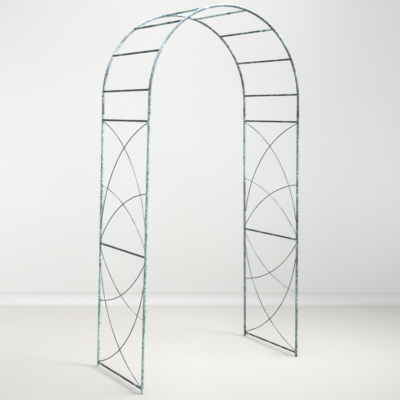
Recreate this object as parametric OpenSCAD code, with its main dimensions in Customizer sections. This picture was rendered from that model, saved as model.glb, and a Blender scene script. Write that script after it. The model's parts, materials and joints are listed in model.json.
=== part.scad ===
// Metal garden trellis arch.
// Two flat side panels carry two round hoops, and cross rungs tie the front hoop to the rear one.
// Each hoop is two quarter tubes: they slip over spigots in the panels and meet over a spigot at
// the crown. The panels are filled with bows of thin rod.
// Units are millimetres. +Z is up, +X is right, and the front of the arch faces -Y. The origin is
// on the ground, in the middle of the footprint.

/* [Arch] */
// Centreline radius of the hoops
hoop_radius = 540; // [400:5:700]
// Distance between the front and the rear hoop, centre to centre
arch_depth = 540; // [350:5:700]
// Length of each panel upright, from the ground to the slip joint
upright_length = 1562; // [1200:1:2000]
// Length of straight tube between the slip joint and the start of the hoop's curve
hoop_tail = 105; // [80:1:200]
// How far each leg leans outward, in degrees
leg_splay = 1.5; // [0:0.1:3]

/* [Tubes and rods] */
// Outside diameter of the uprights and hoops
tube_od = 16; // [14:0.5:25]
// Wall of the uprights and hoops
tube_wall = 1.2; // [0.8:0.1:2]
// Outside diameter of the cross rungs
rung_od = 12; // [8:0.5:14]
// Wall of the cross rungs
rung_wall = 1; // [0.6:0.1:2]
// Diameter of the rod that the bows are bent from
bow_rod = 5.5; // [4:0.5:8]
// Gap left between a coped end and the tube that it is welded to
weld_gap = 0.05; // [0.02:0.01:0.2]

/* [Side panels] */
// Height of the bottom rung's centre, measured along the leg
bottom_rung_height = 26; // [15:1:120]
// Distance from the top rung's centre up to the slip joint
top_rung_drop = 32; // [20:1:80]
// Gap between an end rung and the end of the long bow beside it
long_bow_gap = 1; // [0.5:0.5:40]
// Height of a short bow's upper end, measured from the middle rung's centre
short_bow_rise = 355; // [250:1:450]
// Height of a short bow's lower end, measured from the middle rung's centre
short_bow_foot = 20; // [15:1:80]
// Bend radius of the short bows
short_bow_radius = 765; // [500:5:1200]
// Gap between the two layers of bows, where they cross
bow_layer_gap = 0.1; // [0.05:0.05:1]

/* [Hoop rungs] */
// Number of cross rungs on each side of the crown
rungs_per_side = 4; // [2:1:4]
// Angle of the lowest rung above the hoop's centre, in degrees
lowest_rung_angle = 5; // [3:0.5:8]
// Angle between neighbouring rungs, in degrees
rung_pitch = 24; // [15:0.5:25]

/* [Slip joints] */
// Length of a spigot inside each of the two tubes that it joins
spigot_reach = 60; // [30:1:75]
// Wall of the spigots
spigot_wall = 1; // [0.8:0.1:2]
// Gap all round between a spigot and the tube over it
spigot_gap = 0.15; // [0.1:0.05:0.3]
// Gap between the two tube ends at a slip joint
seam_gap = 0.4; // [0:0.1:1]

/* [Joint screws] */
// Diameter of the screws through the slip joints
screw_d = 4; // [3:0.5:5]
// Gap all round a screw in its hole
screw_hole_gap = 0.15; // [0.1:0.05:0.4]
// Diameter of a screw's head
screw_head_d = 8; // [6:0.5:10]
// Height of a screw's head
screw_head_h = 2.6; // [1.5:0.1:4]
// Length of each slot of the cross in a screw's head
slot_length = 4.4; // [3:0.1:5]
// Width of the slots
slot_width = 1.1; // [0.6:0.1:1.6]
// Depth of the slots
slot_depth = 1.3; // [0.5:0.1:1.3]
// Distance from a leg's slip joint up to its screw
leg_screw_rise = 10; // [8:1:50]
// Distance from the crown joint to its screw, along the hoop
crown_screw_offset = 19; // [10:1:50]
// Width across the flats of a nut
nut_width = 7; // [5.5:0.5:9]
// Thickness of a nut
nut_thickness = 3.2; // [2:0.1:5]
// Length of screw that stands past its nut
screw_stick_out = 1.5; // [0.5:0.5:5]
// Gap between a screw's head or nut and the tube that it bears on
seat_gap = 0.05; // [0.02:0.01:0.2]

/* [Hidden] */
$fn = 64;
// Facets in a full turn of a hoop or a bow
arc_fn = 240;

SIDES = ["left", "right"];
ENDS = ["front", "rear"];
LEVELS = ["bottom", "middle", "top"];
HALVES = ["lower", "upper"];
CORNERS = [for (end = ENDS, side = SIDES) str(end, "_", side)];
BAYS = [for (side = SIDES, half = HALVES, end = ENDS) str(side, "_", half, "_", end)];

verdigris = [0.45, 0.66, 0.64];
bare_steel = [0.66, 0.68, 0.69];
aged_bronze = [0.22, 0.27, 0.26];
rod_brown = [0.33, 0.31, 0.29];

// Half the distance between the hoops
half_depth = arch_depth / 2;
// Length along a leg from the ground to the start of the hoop's curve
leg_length = upright_length + hoop_tail;
// Height of the hoops' centre
hoop_centre_z = leg_length * cos(leg_splay) - hoop_radius * sin(leg_splay);
// Where a leg's centreline meets the ground
foot_x = hoop_radius * cos(leg_splay) + leg_length * sin(leg_splay);
// Distance between neighbouring rungs of a panel
panel_pitch = (upright_length - top_rung_drop - bottom_rung_height) / 2;
// Height of the middle rung, measured along the leg
mid_rung_height = bottom_rung_height + panel_pitch;
// A long bow springs from the side of one upright, next to the end rung. Its circle is tangent to
// the other upright's centreline, at the middle rung.
long_bow_reach = arch_depth - tube_od / 2;
long_bow_rise = panel_pitch - (rung_od + bow_rod) / 2 - long_bow_gap;
long_bow_radius = (pow(long_bow_reach, 2) + pow(long_bow_rise, 2)) / (2 * long_bow_reach);
// How far each layer of bows stands off the panel's own plane
bow_offset = (bow_rod + bow_layer_gap) / 2;
tube_id = tube_od - 2 * tube_wall;
spigot_od = tube_id - 2 * spigot_gap;
screw_hole_d = screw_d + 2 * screw_hole_gap;
// Distance from a tube's centreline to the faces that its screw's head and nut bear with
screw_seat = tube_od / 2 + seat_gap;
// Angle of the hoop that a length along its centreline takes up
function hoop_angle(length) = length / hoop_radius * 180 / PI;
function end_sign(end) = end == "front" ? -1 : 1;

// Puts its children on the named side. They are drawn for the right side.
module on_side(side) {
    mirror([side == "left" ? 1 : 0, 0, 0]) children();
}

// The right panel's frame: origin on the ground between its legs, +Z up along the legs, +X outward
module in_panel() {
    translate([foot_x, 0, 0]) rotate([0, -leg_splay, 0]) children();
}

// The frame of one leg of the right panel: as in_panel, with its origin on the leg's centreline
module along_leg(end) {
    in_panel() translate([0, end_sign(end) * half_depth, 0]) children();
}

// The frame of a hoop: its circle lies in the XY plane about the origin, with +Y up. +Z is the
// front of the arch.
module in_hoop(end) {
    translate([0, end_sign(end) * half_depth, hoop_centre_z]) rotate([90, 0, 0]) children();
}

// A straight tube from the origin up +Z
module tube(od, wall, length) {
    difference() {
        cylinder(h = length, d = od);
        translate([0, 0, -1]) cylinder(h = length + 2, d = od - 2 * wall);
    }
}

// A tube bent to the hoop's radius, from +X round towards +Y
module bent_tube(od, wall, angle) {
    rotate_extrude(angle = angle, $fn = arc_fn)
        translate([hoop_radius, 0])
            difference() {
                circle(d = od);
                circle(d = od - 2 * wall);
            }
}

// One leg of a side panel. Its foot is cut level with the ground and left open.
module upright(side, end) {
    trim = tube_od;
    color(verdigris)
        on_side(side)
            difference() {
                along_leg(end)
                    translate([0, 0, -trim]) tube(tube_od, tube_wall, upright_length + trim);
                translate([foot_x, end_sign(end) * half_depth, -trim])
                    cube([2 * tube_od, 2 * tube_od, 2 * trim], center = true);
            }
}

// The sleeve inside a leg's slip joint
module leg_spigot(side, end) {
    color(bare_steel)
        on_side(side)
            along_leg(end)
                difference() {
                    translate([0, 0, upright_length - spigot_reach])
                        tube(spigot_od, spigot_wall, 2 * spigot_reach);
                    translate([0, 0, upright_length + leg_screw_rise])
                        rotate([90, 0, 0])
                            cylinder(h = 2 * tube_od, d = screw_hole_d, center = true);
                }
}

// One quarter of a hoop, with the straight tail that slips over the leg's spigot
module hoop_quarter(side, end) {
    tail = hoop_tail - seam_gap;
    sweep = 90 - leg_splay - hoop_angle(seam_gap / 2);
    color(verdigris)
        on_side(side)
            in_hoop(end)
                rotate([0, 0, leg_splay])
                    difference() {
                        union() {
                            bent_tube(tube_od, tube_wall, sweep);
                            translate([hoop_radius, 0, 0])
                                rotate([90, 0, 0])
                                    tube(tube_od, tube_wall, tail);
                        }
                        translate([hoop_radius, leg_screw_rise - hoop_tail, 0])
                            cylinder(h = 2 * tube_od, d = screw_hole_d, center = true);
                        if (side == "right")
                            rotate([0, 0, 90 - leg_splay]) crown_screw_place()
                                cylinder(h = 2 * tube_od, d = screw_hole_d, center = true);
                    }
}

// Puts its children at the crown screw of a hoop, in the frame where the crown lies on +X
module crown_screw_place() {
    rotate([0, 0, -hoop_angle(crown_screw_offset)]) translate([hoop_radius, 0, 0]) children();
}

// The bent sleeve inside a hoop's crown joint
module crown_spigot(end) {
    reach = hoop_angle(spigot_reach);
    color(bare_steel)
        in_hoop(end)
            rotate([0, 0, 90])
                difference() {
                    rotate([0, 0, -reach]) bent_tube(spigot_od, spigot_wall, 2 * reach);
                    crown_screw_place()
                        cylinder(h = 2 * tube_od, d = screw_hole_d, center = true);
                }
}

// A level cross rung through the origin, long enough to reach both centrelines that it joins
module rung_blank() {
    translate([0, half_depth, 0]) rotate([90, 0, 0]) tube(rung_od, rung_wall, arch_depth);
}

// What is cut from a panel's rungs and bows, so that they fit round both uprights
module upright_copes() {
    for (end = ENDS)
        translate([0, end_sign(end) * half_depth, -tube_od])
            cylinder(h = upright_length + 2 * tube_od, r = tube_od / 2 + weld_gap);
}

// One of the three cross rungs of a side panel, with its ends coped to the uprights
module panel_rung(side, level) {
    color(aged_bronze)
        on_side(side)
            in_panel()
                difference() {
                    translate([0, 0, rung_height(level)]) rung_blank();
                    upright_copes();
                }
}

function rung_height(level) =
    bottom_rung_height + panel_pitch * search([level], LEVELS)[0];

// One cross rung of the hoops, with its ends coped to both hoops. Rung 1 is next to the crown.
module hoop_rung(side, index) {
    angle = lowest_rung_angle + rung_pitch * (rungs_per_side - index);
    color(aged_bronze)
        on_side(side)
            difference() {
                translate([hoop_radius * cos(angle), 0, hoop_centre_z + hoop_radius * sin(angle)])
                    rung_blank();
                for (end = ENDS)
                    in_hoop(end)
                        rotate([0, 0, angle - rung_pitch / 4])
                            rotate_extrude(angle = rung_pitch / 2, $fn = arc_fn)
                                translate([hoop_radius, 0]) circle(r = tube_od / 2 + weld_gap);
            }
}

// Puts a bow in its bay. The bow is drawn in the YZ plane about the middle rung, in the upper half,
// with its high end on the front upright. Bows from the front lie in the outer layer, bows from
// the rear in the inner one, so a bow only crosses bows of the other layer.
module bow_place(side, half, end) {
    layer = end == "front" ? 1 : -1;
    on_side(side)
        in_panel()
            difference() {
                translate([layer * bow_offset, 0, mid_rung_height])
                    mirror([0, end == "rear" ? 1 : 0, 0])
                        mirror([0, 0, half == "lower" ? 1 : 0])
                            children();
                upright_copes();
            }
}

// A bent rod in the YZ plane about the point [y, z], between two angles above +Y
module bent_rod(centre, radius, from, to) {
    translate([0, centre[0], centre[1]])
        rotate([90, 0, 90])
            rotate([0, 0, from])
                rotate_extrude(angle = to - from, $fn = arc_fn)
                    translate([radius, 0]) circle(d = bow_rod);
}

// A long bow falls from a corner of the panel until it lies against the other upright
module long_bow(side, half, end) {
    centre_y = half_depth - long_bow_radius;
    touch = tube_od / 2 + bow_rod / 2 + weld_gap;
    touch_y = half_depth - sqrt(pow(touch, 2) - pow(bow_offset, 2));
    color(rod_brown)
        bow_place(side, half, end)
            bent_rod(
                [centre_y, 0], long_bow_radius,
                acos((touch_y - centre_y) / long_bow_radius),
                acos((-half_depth - centre_y) / long_bow_radius)
            );
}

// A short bow falls from one upright to the corner of the other upright and the middle rung
module short_bow(side, half, end) {
    rise = short_bow_rise - short_bow_foot;
    chord = sqrt(pow(arch_depth, 2) + pow(rise, 2));
    chord_angle = atan2(rise, -arch_depth);
    height = sqrt(pow(short_bow_radius, 2) - pow(chord / 2, 2));
    centre = [
        -height * cos(chord_angle - 90),
        (short_bow_rise + short_bow_foot) / 2 - height * sin(chord_angle - 90)
    ];
    half_sweep = asin(chord / 2 / short_bow_radius);
    color(rod_brown)
        bow_place(side, half, end)
            bent_rod(
                centre, short_bow_radius,
                chord_angle - 90 - half_sweep, chord_angle - 90 + half_sweep
            );
}

// Puts its children at every joint screw, with +Z along the screw and out of the arch
module each_joint() {
    for (end = ENDS) {
        face = end == "front" ? 0 : 180;
        for (side = SIDES)
            on_side(side)
                along_leg(end)
                    translate([0, 0, upright_length + leg_screw_rise])
                        rotate([90, 0, 0]) rotate([0, face, 0]) children();
        in_hoop(end)
            rotate([0, 0, 90]) crown_screw_place() rotate([0, face, 0]) children();
    }
}

// The pan-head screws through the six slip joints
module joint_screws() {
    shank = 2 * screw_seat + nut_thickness + screw_stick_out;
    color(bare_steel)
        each_joint()
            difference() {
                union() {
                    translate([0, 0, screw_seat]) pan_head();
                    translate([0, 0, screw_seat - shank]) cylinder(h = shank, d = screw_d);
                }
                for (turn = [0, 90])
                    translate([0, 0, screw_seat + screw_head_h])
                        rotate([0, 0, turn])
                            cube([slot_length, slot_width, 2 * slot_depth], center = true);
            }
}

// A screw's head, standing on the XY plane, with a rounded upper edge
module pan_head() {
    edge = screw_head_h * 0.6;
    rotate_extrude() {
        square([screw_head_d / 2 - edge, screw_head_h]);
        square([screw_head_d / 2, screw_head_h - edge]);
        translate([screw_head_d / 2 - edge, screw_head_h - edge])
            intersection() {
                circle(r = edge);
                square(edge);
            }
    }
}

// The nuts on the screws' inner ends
module joint_nuts() {
    color(bare_steel)
        each_joint()
            translate([0, 0, -screw_seat - nut_thickness])
                difference() {
                    cylinder(h = nut_thickness, d = nut_width / cos(30), $fn = 6);
                    translate([0, 0, -1])
                        cylinder(h = nut_thickness + 2, d = screw_d + 2 * weld_gap);
                }
}

for (end = ENDS, side = SIDES) {
    corner = str(end, "_", side);
    upright(side, end);
    leg_spigot(side, end);
    hoop_quarter(side, end);
}
for (end = ENDS)
    crown_spigot(end);
for (side = SIDES, level = LEVELS)
    panel_rung(side, level);
for (side = SIDES, half = HALVES, end = ENDS) {
    bay = str(side, "_", half, "_", end);
    long_bow(side, half, end);
    short_bow(side, half, end);
}
for (side = SIDES, i = [1:rungs_per_side])
    hoop_rung(side, i);
joint_screws();
joint_nuts();
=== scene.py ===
"""Looks of the metal garden arch: verdigris finish, weld beads, floor, light and camera."""

import json
import math

import bmesh
import bpy
from mathutils import Matrix, Vector, noise

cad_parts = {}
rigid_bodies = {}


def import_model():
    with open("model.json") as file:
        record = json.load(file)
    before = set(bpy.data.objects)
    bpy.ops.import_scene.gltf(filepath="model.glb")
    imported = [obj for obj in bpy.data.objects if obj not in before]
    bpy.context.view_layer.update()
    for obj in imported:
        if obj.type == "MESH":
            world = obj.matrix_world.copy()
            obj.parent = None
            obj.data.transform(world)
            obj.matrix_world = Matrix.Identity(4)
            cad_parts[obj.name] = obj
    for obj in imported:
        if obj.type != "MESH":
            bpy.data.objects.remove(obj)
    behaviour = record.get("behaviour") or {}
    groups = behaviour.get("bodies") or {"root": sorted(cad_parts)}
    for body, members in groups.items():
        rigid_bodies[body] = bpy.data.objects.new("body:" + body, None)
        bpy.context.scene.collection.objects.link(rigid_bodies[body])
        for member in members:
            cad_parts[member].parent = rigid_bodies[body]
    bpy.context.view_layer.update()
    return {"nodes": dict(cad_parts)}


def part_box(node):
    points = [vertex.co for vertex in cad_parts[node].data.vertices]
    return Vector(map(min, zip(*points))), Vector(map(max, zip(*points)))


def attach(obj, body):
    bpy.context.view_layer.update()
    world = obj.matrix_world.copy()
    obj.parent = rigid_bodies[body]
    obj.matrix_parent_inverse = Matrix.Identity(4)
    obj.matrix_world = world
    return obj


for leftover in list(bpy.data.objects):
    bpy.data.objects.remove(leftover)

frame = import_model()
NODES = frame["nodes"]

SIDES = {"left": -1, "right": 1}
ENDS = (-1, 1)  # front, rear

# Sizes of the frame, in metres, that its boxes don't give directly
TUBE_R = 0.008
RUNG_R = 0.006
ROD_R = 0.00275
HOOP_RADIUS = 0.540
SPLAY = math.radians(1.5)
LONG_BOW_GAP = 0.001
SHORT_BOW_RISE = 0.355
SHORT_BOW_FOOT = 0.020
SHORT_BOW_RADIUS = 0.765
LAYER_OFFSET = 0.0028

HOOP_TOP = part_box("hoop_front_right")[1].z
HOOP_CENTRE_Z = HOOP_TOP - TUBE_R - HOOP_RADIUS
HALF_DEPTH = sum(corner.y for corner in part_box("hoop_rear_right")) / 2


def centre_of(node):
    """The middle of a CAD node's box."""
    low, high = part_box(node)
    return (low + high) / 2


# ---------------------------------------------------------------- materials


class Nodes:
    """A material's node tree, with short ways to add and join nodes."""

    def __init__(self, name):
        self.material = bpy.data.materials.new(name)
        self.material.use_nodes = True
        self.tree = self.material.node_tree
        self.shader = self.tree.nodes["Principled BSDF"]

    def add(self, kind, **values):
        node = self.tree.nodes.new("ShaderNode" + kind)
        for key, value in values.items():
            setattr(node, key, value)
        return node

    def link(self, source, target):
        self.tree.links.new(source, target)

    def place(self):
        """Object coordinates, in metres."""
        return self.add("TexCoord").outputs["Object"]

    def noise(self, place, scale, detail, rough, seed):
        """A cloudy pattern around 0.5. seed is where it is cut from the fourth dimension."""
        node = self.add("TexNoise", noise_dimensions="4D")
        node.inputs["W"].default_value = seed
        node.inputs["Scale"].default_value = scale
        node.inputs["Detail"].default_value = detail
        node.inputs["Roughness"].default_value = rough
        self.link(place, node.inputs["Vector"])
        return node.outputs["Fac"]

    def ramp(self, factor, *stops):
        """A smooth ramp of (position, value) stops, where a value is a number or a colour."""
        node = self.add("ValToRGB")
        elements = node.color_ramp.elements
        while len(elements) < len(stops):
            elements.new(0.5)
        for element, (position, value) in zip(elements, stops):
            element.position = position
            colour = (value,) * 3 if isinstance(value, (int, float)) else value
            element.color = (*colour, 1)
        self.link(factor, node.inputs["Fac"])
        return node.outputs["Color"]

    def mix(self, factor, first, second):
        """first where factor is 0, second where it is 1.

        The factor is a number or a socket, and the other two are colours or sockets.
        """
        node = self.add("Mix", data_type="RGBA")
        for socket, value in (
            (node.inputs[0], factor),
            (node.inputs[6], first),
            (node.inputs[7], second),
        ):
            if isinstance(value, bpy.types.NodeSocket):
                self.link(value, socket)
            else:
                socket.default_value = value if isinstance(value, float) else (*value, 1)
        return node.outputs[2]

    def bump(self, height, distance, strength, below=None):
        """Raises the surface by up to distance, in metres, over the bump below it if any."""
        node = self.add("Bump")
        node.inputs["Distance"].default_value = distance
        node.inputs["Strength"].default_value = strength
        self.link(height, node.inputs["Height"])
        if below is not None:
            self.link(below, node.inputs["Normal"])
        return node.outputs["Normal"]

    def upward(self):
        """1 on faces that look up, 0 on faces that look sideways or down."""
        geometry = self.add("NewGeometry")
        split = self.add("SeparateXYZ")
        self.link(geometry.outputs["Normal"], split.inputs["Vector"])
        return self.ramp(split.outputs["Z"], (0.15, 0), (0.9, 1))


BRONZE = (0.011, 0.014, 0.014)
DEEP = (0.022, 0.062, 0.060)
SLATE = (0.045, 0.072, 0.072)
TEAL = (0.120, 0.200, 0.195)
MINT = (0.285, 0.430, 0.415)
CHALK = (0.480, 0.630, 0.610)
# The blue shades below are painted light: a blue sky tint painted into the hoops' colour.
INK = (0.044, 0.060, 0.070)
STEEL_BLUE = (0.110, 0.158, 0.186)
PALE_BLUE = (0.265, 0.345, 0.380)
LILAC_GREY = (0.465, 0.555, 0.595)

# Where the middle shade of a verdigris lies in its tone, and how far paleness lowers it
MIDDLE_TONE = 0.59
PALE_SHIFT = 0.12


def verdigris(name, shades, pale, painted_top_light, seed, scales, step, tone_rise):
    """A brushed-on verdigris paint over dark bronze.

    shades are five, from the darkest paint to the palest. pale moves the balance towards the
    pale shades, and dust is how far the faces that look up go to the palest, a painted highlight
    where the light from above falls. Both run from 0 to 1. scales are those of the broad, middle
    and fine patterns, and step is how far apart in tone the shades lie. worn is (axis, from, to,
    amount): the tone rises by amount from one position on the axis to the other. On the tubes and
    hoops this rise is painted light: the left ones are painted paler, as if more lit.
    """
    nodes = Nodes(name)
    place = nodes.place()
    broad_scale, patch_scale, speckle_scale = scales
    broad = nodes.noise(place, broad_scale, detail=3, rough=0.5, seed=seed)
    patches = nodes.noise(place, patch_scale, detail=5, rough=0.6, seed=seed + 3)
    speckle = nodes.noise(place, speckle_scale, detail=4, rough=0.6, seed=seed + 7)
    tone = nodes.mix(0.68, broad, patches)
    tone = nodes.mix(0.25, tone, speckle)
    # The tone rises along one axis; on the tubes and hoops this is painted light, paler on the
    # left.
    axis, start, end, amount = tone_rise
    split = nodes.add("SeparateXYZ")
    nodes.link(place, split.inputs["Vector"])
    rise = nodes.add("MapRange")
    for socket, value in zip(("From Min", "From Max", "To Max"), (start, end, amount)):
        rise.inputs[socket].default_value = value
    nodes.link(split.outputs[axis], rise.inputs["Value"])
    total = nodes.add("Math", operation="ADD")
    nodes.link(tone, total.inputs[0])
    nodes.link(rise.outputs["Result"], total.inputs[1])
    tone = total.outputs["Value"]
    first = MIDDLE_TONE - PALE_SHIFT * pale - 2 * step
    stops = [(first + step * i, shade) for i, shade in enumerate(shades)]
    colour = nodes.ramp(tone, *stops)
    # Painted highlight: faces that look up go towards the palest shade, where the light from above
    # falls on them.
    top_lit_colour = nodes.mix(nodes.mix(painted_top_light, (0, 0, 0), nodes.upward()), colour, shades[-1])
    nodes.link(top_lit_colour, nodes.shader.inputs["Base Color"])
    last = stops[-1][0]
    nodes.link(nodes.ramp(tone, (first, 0.42), (last, 0.66)), nodes.shader.inputs["Roughness"])
    flakes = nodes.bump(patches, distance=0.0006, strength=0.5)
    grain = nodes.bump(speckle, distance=0.00018, strength=0.6, below=flakes)
    nodes.link(grain, nodes.shader.inputs["Normal"])
    nodes.shader.inputs["Specular IOR Level"].default_value = 0.35
    return nodes.material


def bow_finish(name, *stops):
    """Thin paint on the rods, with rubbed and greenish stretches. stops are tones and shades."""
    nodes = Nodes(name)
    place = nodes.place()
    broad = nodes.noise(place, scale=3, detail=2, rough=0.5, seed=95.0)
    patches = nodes.noise(place, scale=16, detail=4, rough=0.6, seed=11.0)
    speckle = nodes.noise(place, scale=500, detail=4, rough=0.6, seed=14.0)
    tone = nodes.mix(0.2, nodes.mix(0.55, broad, patches), speckle)
    nodes.link(nodes.ramp(tone, *stops), nodes.shader.inputs["Base Color"])
    nodes.link(nodes.ramp(tone, (0.3, 0.45), (0.7, 0.75)), nodes.shader.inputs["Roughness"])
    grain = nodes.bump(speckle, distance=0.00012, strength=0.5)
    nodes.link(grain, nodes.shader.inputs["Normal"])
    return nodes.material


def weld_finish():
    """Weld beads under the paint: darker, with a green bloom in the hollows."""
    nodes = Nodes("weld_finish")
    place = nodes.place()
    patches = nodes.noise(place, scale=160, detail=4, rough=0.6, seed=21.0)
    fine = nodes.noise(place, scale=900, detail=3, rough=0.6, seed=24.0)
    colour = nodes.ramp(
        nodes.mix(0.3, patches, fine),
        (0.36, BRONZE),
        (0.50, (0.050, 0.080, 0.078)),
        (0.66, TEAL),
    )
    nodes.link(colour, nodes.shader.inputs["Base Color"])
    nodes.shader.inputs["Roughness"].default_value = 0.6
    grain = nodes.bump(fine, distance=0.0002, strength=0.7)
    nodes.link(grain, nodes.shader.inputs["Normal"])
    return nodes.material


def fastener_finish():
    """Darkened steel screws and nuts with brown rust in spots."""
    nodes = Nodes("fastener_finish")
    rust = nodes.noise(nodes.place(), scale=300, detail=5, rough=0.65, seed=31.0)
    colour = nodes.ramp(rust, (0.45, (0.045, 0.044, 0.042)), (0.62, (0.110, 0.055, 0.030)))
    nodes.link(colour, nodes.shader.inputs["Base Color"])
    nodes.link(nodes.ramp(rust, (0.45, 0.75), (0.62, 0.05)), nodes.shader.inputs["Metallic"])
    nodes.link(nodes.ramp(rust, (0.45, 0.38), (0.62, 0.8)), nodes.shader.inputs["Roughness"])
    pits = nodes.bump(rust, distance=0.0002, strength=0.5)
    nodes.link(pits, nodes.shader.inputs["Normal"])
    return nodes.material


def finish_nodes():
    """Gives every CAD node its material, by the start of its name."""
    teal = (BRONZE, SLATE, TEAL, MINT, CHALK)
    # The hoops' blue cast is a painted sky tint; their patches are the paint's own.
    blue = (BRONZE, INK, STEEL_BLUE, PALE_BLUE, LILAC_GREY)
    dark = (BRONZE, BRONZE, DEEP, TEAL, MINT)
    tube = verdigris(
        "verdigris_tube_finish",
        teal,
        pale=0.70,
        painted_top_light=0.30,
        seed=19.0,
        scales=(6, 100, 420),
        step=0.052,
        # Painted light: the left uprights are painted paler than the right ones.
        tone_rise=("X", 0.5, -0.5, 0.055),
    )
    hoop = verdigris(
        "verdigris_hoop_sky_tinted_finish",
        blue,
        pale=0.57,
        painted_top_light=0.80,
        seed=22.0,
        scales=(8, 100, 420),
        step=0.046,
        # Painted light: the left hoop is painted paler, as the light from above falls on its seen
        # side.
        tone_rise=("X", 0.3, -0.4, 0.06),
    )
    rung = verdigris(
        "bronze_rung_finish",
        dark,
        pale=0.45,
        painted_top_light=0.05,
        seed=26.0,
        scales=(8, 30, 300),
        step=0.030,
        tone_rise=("Z", 2.05, 2.15, 0.09),
    )
    # Lit and shaded copies of one rod paint: painted light and shade from the light at the upper
    # right. The darker copy goes on one diagonal and the paler, greener copy on the other.
    shaded_rod = bow_finish(
        "shaded_rod_finish",
        (0.43, (0.012, 0.010, 0.009)),
        (0.50, (0.045, 0.037, 0.033)),
        (0.56, (0.110, 0.108, 0.100)),
        (0.63, (0.280, 0.310, 0.300)),
    )
    lit_rod = bow_finish(
        "lit_rod_finish",
        (0.40, (0.030, 0.031, 0.029)),
        (0.47, (0.105, 0.115, 0.110)),
        (0.53, (0.210, 0.255, 0.245)),
        (0.60, (0.400, 0.480, 0.465)),
    )
    steel = fastener_finish()
    finishes = {
        "upright": tube,
        "hoop_front": hoop,
        "hoop_rear": hoop,
        "hoop_rung": rung,
        "panel_rung": rung,
        "leg_spigot": rung,
        "crown_spigot": rung,
        "joint": steel,
    }
    for name, node in NODES.items():
        if "_bow_" in name:
            # Painted light: the rods on one diagonal take the shaded copy, the others the lit
            # copy.
            finish = shaded_rod if name.endswith(("upper_front", "lower_rear")) else lit_rod
        else:
            finish = next(made for start, made in finishes.items() if name.startswith(start))
        for slot in range(len(node.data.materials)):
            node.data.materials[slot] = finish


# ---------------------------------------------------------------- weld beads


RUNG_BEAD = 0.0014
ROD_BEAD = 0.0011
LUMPS_PER_METRE = 450
# How far before its meeting point with the tube a rod's bead is reckoned from
ROD_START = 0.004
# Half the size along x, y and z of the weld where a long bow lies against an upright, and of
# the tack where two bows cross
LAP_WELD = (0.0034, 0.0028, 0.0095)
CROSSING_TACK = (0.0018, 0.0030, 0.0030)


def lump(point, seed):
    """A smooth value from -1 to 1 that gives beads their uneven ripples."""
    return noise.noise(point * LUMPS_PER_METRE + Vector((seed, -seed, seed * 0.5)))


def collar_bead(mesh, start, along, tube_point, tube_axis, rod_radius, bead):
    """A weld bead round a rod or rung where it meets a tube.

    The rod runs from start in the direction along. The bead follows the line where the rod's
    surface meets the tube's, and its own section is a lumpy circle of radius bead.
    """
    steps, section = 40, 8
    across = along.cross(tube_axis).normalized()
    up = across.cross(along).normalized()
    rows = []
    for i in range(steps):
        turn = 2 * math.pi * i / steps
        out = up * math.sin(turn) + across * math.cos(turn)
        foot = start + out * rod_radius - tube_point
        flat = foot - tube_axis * foot.dot(tube_axis)
        way = along - tube_axis * along.dot(tube_axis)
        half_b = flat.dot(way) / way.length_squared
        gap = half_b**2 - (flat.length_squared - TUBE_R**2) / way.length_squared
        reach = -half_b + math.sqrt(max(gap, 0.0))
        meet = tube_point + foot + along * reach
        normal = (flat + way * reach).normalized()
        side = (out + normal).normalized()
        forward = side.cross(out.cross(along)).normalized()
        size = bead * (1 + 0.28 * lump(meet, 3.1))
        ring = []
        for j in range(section):
            a = 2 * math.pi * j / section
            ring.append(mesh.verts.new(meet + size * (math.cos(a) * side + math.sin(a) * forward)))
        rows.append(ring)
    for i in range(steps):
        here, after = rows[i], rows[(i + 1) % steps]
        for j in range(section):
            k = (j + 1) % section
            mesh.faces.new((here[j], here[k], after[k], after[j]))


def blob(mesh, centre, half_sizes):
    """A lumpy closed drop of weld metal."""
    made = bmesh.ops.create_icosphere(mesh, subdivisions=3, radius=1.0)
    for vert in made["verts"]:
        spot = centre + vert.co * Vector(half_sizes)
        vert.co = centre + (spot - centre) * (1 + 0.22 * lump(spot, 8.3))


def new_piece(name, mesh, finish):
    """Turns a bmesh into a smooth-shaded piece that rides on the arch."""
    bmesh.ops.recalc_face_normals(mesh, faces=mesh.faces)
    data = bpy.data.meshes.new(name)
    mesh.to_mesh(data)
    mesh.free()
    for face in data.polygons:
        face.use_smooth = True
    piece = bpy.data.objects.new(name, data)
    bpy.context.scene.collection.objects.link(piece)
    piece.data.materials.append(finish)
    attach(piece, "root")


def circle_point(centre, radius, y):
    """The upper point of a circle in the panel's plane at a given y."""
    return centre[1] + math.sqrt(radius**2 - (y - centre[0]) ** 2)


def short_bow_centre():
    """The centre of a short bow, which climbs from a foot on one upright to the other."""
    rise = SHORT_BOW_RISE - SHORT_BOW_FOOT
    half_chord = math.hypot(2 * HALF_DEPTH, rise) / 2
    off = math.sqrt(SHORT_BOW_RADIUS**2 - half_chord**2)
    away = Vector((-rise, -2 * HALF_DEPTH)).normalized() * off
    return Vector((0, (SHORT_BOW_RISE + SHORT_BOW_FOOT) / 2)) + away


def long_bow_radius():
    """A long bow springs from the side of one upright and is tangent to the other's centreline."""
    reach = 2 * HALF_DEPTH - TUBE_R
    pitch = (centre_of("panel_rung_right_top") - centre_of("panel_rung_right_middle")).length
    rise = pitch - RUNG_R - ROD_R - LONG_BOW_GAP
    return (reach**2 + rise**2) / (2 * reach)


def bow_circles():
    """The centre (y, z) and radius of the long and the short bow from the front upright.

    The origin is the middle rung, in the panel's plane, and the bows are the upper half's.
    """
    radius = long_bow_radius()
    return {
        "long": (Vector((HALF_DEPTH - radius, 0)), radius),
        "short": (short_bow_centre(), SHORT_BOW_RADIUS),
    }


def panel_matrix(side):
    """From a panel's own frame, about its middle rung, to the arch's. The left one mirrors."""
    middle = centre_of("panel_rung_right_middle")
    place = Matrix.Translation(middle) @ Matrix.Rotation(-SPLAY, 4, "Y")
    return Matrix.Scale(SIDES[side], 4, Vector((1, 0, 0))) @ place


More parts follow.
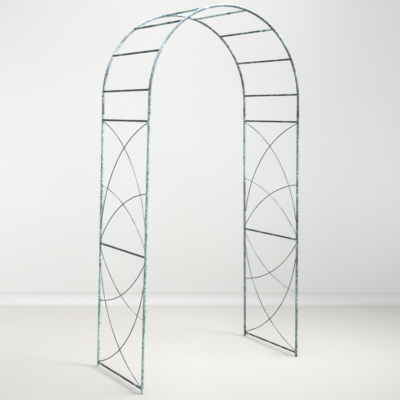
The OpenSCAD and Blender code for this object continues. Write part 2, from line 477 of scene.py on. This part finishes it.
def point_on_tube(circle, layer, y_sign):
    """Where a bow's centreline meets an upright's surface, and its direction into the panel."""
    centre, radius = circle
    edge = HALF_DEPTH - math.sqrt(TUBE_R**2 - LAYER_OFFSET**2)
    y = y_sign * edge
    z = circle_point(centre, radius, y)
    spoke = Vector((y, z)) - centre
    run = Vector((spoke.y, -spoke.x)).normalized() * -y_sign
    return Vector((layer * LAYER_OFFSET, y, z)), Vector((0, run.x, run.y))


def crossing(first, second):
    """The upper crossing of two circles in the panel's plane."""
    (c1, r1), (c2, r2) = first, second
    span = (c2 - c1).length
    along = (span**2 + r1**2 - r2**2) / (2 * span)
    high = math.sqrt(r1**2 - along**2)
    axis = (c2 - c1) / span
    points = [c1 + axis * along + turn * Vector((-axis.y, axis.x)) * high for turn in (-1, 1)]
    return max(points, key=lambda p: p.y)


def mirrored(circle):
    """The same bow from the rear upright."""
    centre, radius = circle
    return Vector((-centre.x, centre.y)), radius


def panel_welds(side, finish):
    """Beads at both ends of every rung and bow of a panel, and tacks where bows cross."""
    mesh = bmesh.new()
    place = panel_matrix(side)
    up = Vector((0, 0, 1))
    middle = centre_of("panel_rung_right_middle")
    circles = bow_circles()

    def add(make, *args):
        part = bmesh.new()
        make(part, *args)
        part.transform(place)
        data = bpy.data.meshes.new("part")
        part.to_mesh(data)
        part.free()
        mesh.from_mesh(data)
        bpy.data.meshes.remove(data)

    for level in ("bottom", "middle", "top"):
        height = (centre_of(f"panel_rung_right_{level}") - middle).length
        height *= -1 if level == "bottom" else 1
        for end in ENDS:
            post = Vector((0, end * HALF_DEPTH, height))
            way = Vector((0, -end, 0))
            add(collar_bead, post, way, post, up, RUNG_R, RUNG_BEAD)
    for half in (1, -1):
        for end in ENDS:
            layer = -end
            flip = Matrix.Diagonal((1, -end, half, 1))
            for kind, ends in (("long", (-1,)), ("short", (-1, 1))):
                for y_sign in ends:
                    spot, run = point_on_tube(circles[kind], layer, y_sign)
                    post = Vector((0, y_sign * HALF_DEPTH, spot.z))
                    add(
                        collar_bead,
                        flip @ (spot - run * ROD_START),
                        flip.to_3x3() @ run,
                        flip @ post,
                        up,
                        ROD_R,
                        ROD_BEAD,
                    )
            centre, radius = circles["long"]
            touch = math.sqrt((TUBE_R + ROD_R) ** 2 - LAYER_OFFSET**2)
            y = HALF_DEPTH - touch
            z = circle_point(centre, radius, y)
            # In the groove between rod and tube, just above the point where they come closest
            spot = flip @ Vector((layer * LAYER_OFFSET * 0.8, y + 0.0016, z + 0.003))
            add(blob, spot, LAP_WELD)
    pairs = (
        (circles["long"], mirrored(circles["long"])),
        (circles["short"], mirrored(circles["short"])),
        (circles["long"], mirrored(circles["short"])),
        (circles["short"], mirrored(circles["long"])),
    )
    for first, second in pairs:
        spot = crossing(first, second)
        for half in (1, -1):
            add(blob, Vector((0, spot.x, spot.y * half)), CROSSING_TACK)
    new_piece(f"panel_welds_{side}", mesh, finish)


def hoop_welds(side, finish):
    """Beads at both ends of the hoop rungs."""
    mesh = bmesh.new()
    rungs = [n for n in NODES if n.startswith(f"hoop_rung_{side}")]
    for name in rungs:
        middle = centre_of(name)
        spoke = (middle - Vector((0, 0, HOOP_CENTRE_Z))).normalized()
        tangent = Vector((0, 1, 0)).cross(spoke)
        for end in ENDS:
            post = Vector((middle.x, end * HALF_DEPTH, middle.z))
            collar_bead(mesh, post, Vector((0, -end, 0)), post, tangent, RUNG_R, RUNG_BEAD)
    new_piece(f"hoop_welds_{side}", mesh, finish)


# ---------------------------------------------------------------- studio

CAMERA_AT = Vector((-2.569, -3.660, 1.564))
CAMERA_YAW = math.radians(34.945)
CAMERA_PITCH = math.radians(-6.686)
CAMERA_ROLL = math.radians(0.636)
CAMERA_LENS = 64.96
WALL_DISTANCE = 5.93
WALL_TURN = math.radians(2.4)
WALL_HEIGHT = 7.0
BACKDROP_HALF_WIDTH = 9.0
FLOOR_BEHIND_CAMERA = 8.0
COVE_RADIUS = 0.09
COVE_STEPS = 8
ARCH_MIDDLE_Z = 1.15
AIR_COLOUR = (0.93, 0.96, 1.0)
AIR_STRENGTH = 0.12


def camera():
    """The view from the left front, at eye height."""
    data = bpy.data.cameras.new("camera")
    data.lens = CAMERA_LENS
    data.sensor_width = 36
    made = bpy.data.objects.new("camera", data)
    bpy.context.scene.collection.objects.link(made)
    made.matrix_world = (
        Matrix.Translation(CAMERA_AT)
        @ Matrix.Rotation(-CAMERA_YAW, 4, "Z")
        @ Matrix.Rotation(math.pi / 2 + CAMERA_PITCH, 4, "X")
        @ Matrix.Rotation(CAMERA_ROLL, 4, "Z")
    )
    bpy.context.scene.camera = made


def plain_finish(name, colour, spread):
    """A matte studio surface with a very faint unevenness."""
    nodes = Nodes(name)
    cloud = nodes.noise(nodes.place(), scale=1.3, detail=3, rough=0.5, seed=41.0)
    pale = tuple(c + spread for c in colour)
    dark = tuple(c - spread for c in colour)
    nodes.link(nodes.ramp(cloud, (0.35, dark), (0.65, pale)), nodes.shader.inputs["Base Color"])
    nodes.shader.inputs["Roughness"].default_value = 0.9
    nodes.shader.inputs["Specular IOR Level"].default_value = 0.1
    return nodes.material


def studio():
    """A pale floor that turns up into a pale wall behind the arch."""
    facing = Matrix.Rotation(WALL_TURN - CAMERA_YAW, 4, "Z")
    origin = Vector((CAMERA_AT.x, CAMERA_AT.y, 0))
    sides = (-BACKDROP_HALF_WIDTH, BACKDROP_HALF_WIDTH)
    profile = [(-FLOOR_BEHIND_CAMERA, 0.0), (WALL_DISTANCE - COVE_RADIUS, 0.0)]
    for i in range(1, COVE_STEPS + 1):
        a = math.pi / 2 * i / COVE_STEPS
        depth = WALL_DISTANCE - COVE_RADIUS + COVE_RADIUS * math.sin(a)
        profile.append((depth, COVE_RADIUS - COVE_RADIUS * math.cos(a)))
    profile.append((WALL_DISTANCE, WALL_HEIGHT))
    mesh = bmesh.new()
    rows = [
        [mesh.verts.new(origin + facing @ Vector((x, depth, height))) for x in sides]
        for depth, height in profile
    ]
    floor = plain_finish("floor_finish", (0.500, 0.488, 0.470), 0.008)
    cove = plain_finish("cove_finish", (0.545, 0.540, 0.532), 0.005)
    wall = plain_finish("wall_finish", (0.60, 0.60, 0.592), 0.005)
    for here, after in zip(rows, rows[1:]):
        face = mesh.faces.new((here[0], here[1], after[1], after[0]))
        face.material_index = 0 if here is rows[0] else 2 if after is rows[-1] else 1
    data = bpy.data.meshes.new("backdrop")
    mesh.to_mesh(data)
    mesh.free()
    for face in data.polygons:
        face.use_smooth = True
    piece = bpy.data.objects.new("backdrop", data)
    bpy.context.scene.collection.objects.link(piece)
    for finish in (floor, cove, wall):
        piece.data.materials.append(finish)


def soft_box(name, at, target, size, power, spread=180):
    """A rectangular light. power is in watts, and spread is how widely it throws, in degrees."""
    data = bpy.data.lights.new(name, "AREA")
    data.shape = "RECTANGLE"
    data.size, data.size_y = size
    data.energy = power
    data.spread = math.radians(spread)
    light = bpy.data.objects.new(name, data)
    bpy.context.scene.collection.objects.link(light)
    light.location = at
    light.rotation_euler = (target - at).to_track_quat("-Z", "Y").to_euler()


def lighting():
    """Soft boxes set out as the camera sees them, and a faint even light from all round."""
    world = bpy.data.worlds.new("studio_air")
    world.use_nodes = True
    sky = world.node_tree.nodes["Background"]
    sky.inputs["Color"].default_value = (*AIR_COLOUR, 1)
    sky.inputs["Strength"].default_value = AIR_STRENGTH
    bpy.context.scene.world = world
    right = Vector((math.cos(CAMERA_YAW), -math.sin(CAMERA_YAW), 0))
    ahead = Vector((math.sin(CAMERA_YAW), math.cos(CAMERA_YAW), 0))
    up = Vector((0, 0, 1))
    middle = Vector((0, 0, ARCH_MIDDLE_Z))
    wall = middle + ahead * 1.38
    key_at = middle + right * 2.6 - ahead * 0.5 + up * 1.6
    top_at = up * 4.3 - ahead * 0.8
    front_at = middle - ahead * 5.5 + up * 1.6 - right * 1.2
    left_at = wall - right * 2.9 - ahead * 1.0
    right_at = wall + right * 2.9 - ahead * 1.0
    soft_box("key", key_at, middle, size=(1.5, 2.6), power=40, spread=70)
    soft_box("top", top_at, Vector((0, 0, 0)), size=(3.2, 2.6), power=130)
    soft_box("front", front_at, wall, size=(2.4, 2.0), power=96)
    soft_box("wash_left", left_at, wall, size=(0.6, 2.4), power=14.5, spread=120)
    soft_box("wash_right", right_at, wall, size=(0.6, 2.4), power=15, spread=120)


finish_nodes()
bead_finish = weld_finish()
for side in SIDES:
    panel_welds(side, bead_finish)
    hoop_welds(side, bead_finish)
camera()
studio()
lighting()
bpy.context.scene.view_settings.view_transform = "Standard"
